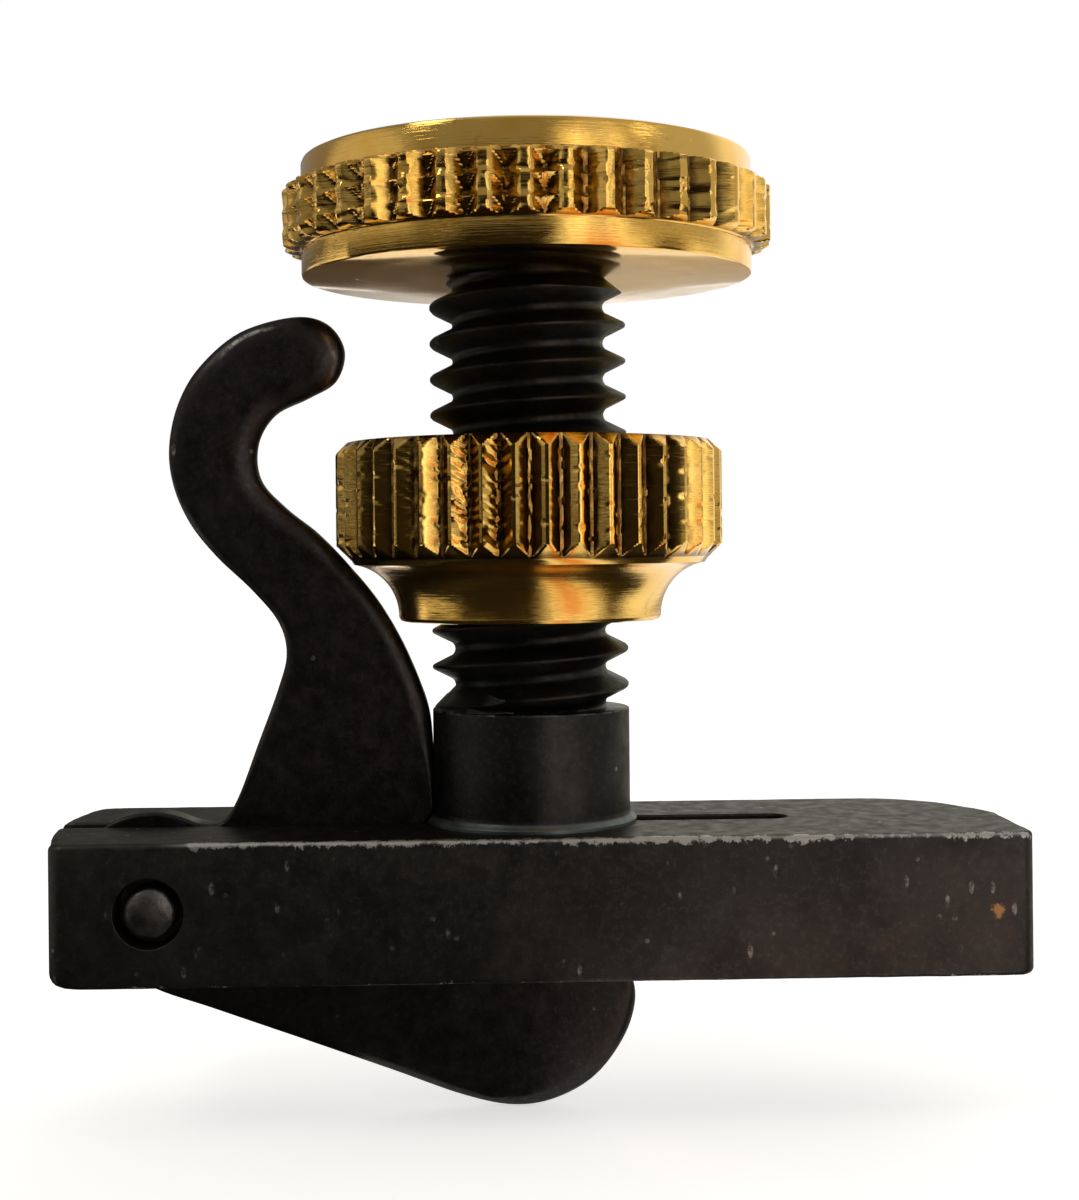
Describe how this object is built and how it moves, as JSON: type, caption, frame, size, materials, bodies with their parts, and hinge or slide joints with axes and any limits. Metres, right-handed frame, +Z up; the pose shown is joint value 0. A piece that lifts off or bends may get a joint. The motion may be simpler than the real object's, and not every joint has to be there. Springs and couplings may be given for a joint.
{
  "type": "string adjuster",
  "caption": "Tailpiece string adjuster: slotted bar, hollow threaded post, hooked lever on a cross pin, ring nut and knurled adjusting screw.",
  "frame": {"origin": "the post's axis at the bar's top face, where the tailpiece rests", "axes": "+Z up the post to the screw's head, +X along the bar away from the hooked lever, +Y across the bar along the pivot pin"},
  "size_m": [0.0184, 0.0094, 0.0183],
  "materials": {
    "blackened_bar": "blackened, satin, with bright wear along the edges",
    "blackened_thread": "blackened, satin, turned",
    "blackened_lever": "blackened, satin, polished smooth on the hook",
    "steel_pin": "dark, satin",
    "brass_nut": "bright, knurled and turned",
    "brass_head": "bright, knurled and turned",
    "steel_screw": "plain turned steel"
  },
  "bodies": {
    "frame": {"frame_bar": "blackened_bar", "threaded_post": "blackened_thread", "pivot_pin": "steel_pin"},
    "lever": {"lever": "blackened_lever"},
    "nut": {"clamp_nut": "brass_nut"},
    "screw": {"screw_stem": "steel_screw"},
    "head": {"screw_head": "brass_head"}
  },
  "joints": [
    {"name": "screw_travel", "type": "slide", "parent": "frame", "child": "screw", "axis": [0, 0, 1], "range_m": [0, 0.0016]},
    {"name": "head_turn", "type": "hinge", "parent": "screw", "child": "head", "pos_m": [0, 0, 0.0117], "axis": [0, 0, 1], "range_deg": [0, 1440]},
    {"name": "lever_pivot", "type": "hinge", "parent": "frame", "child": "lever", "pos_m": [-0.00708, 0, -0.00128], "axis": [0, -1, 0], "range_deg": [0, 12.8]},
    {"name": "nut_travel", "type": "slide", "parent": "frame", "child": "nut", "axis": [0, 0, 1], "range_m": [0, 0.0012]}
  ],
  "couplings": [
    {"joint": "head_turn", "follows": "screw_travel", "rad_per_m": 15708},
    {"joint": "lever_pivot", "follows": "screw_travel", "rad_per_m": 139.6}
  ]
}
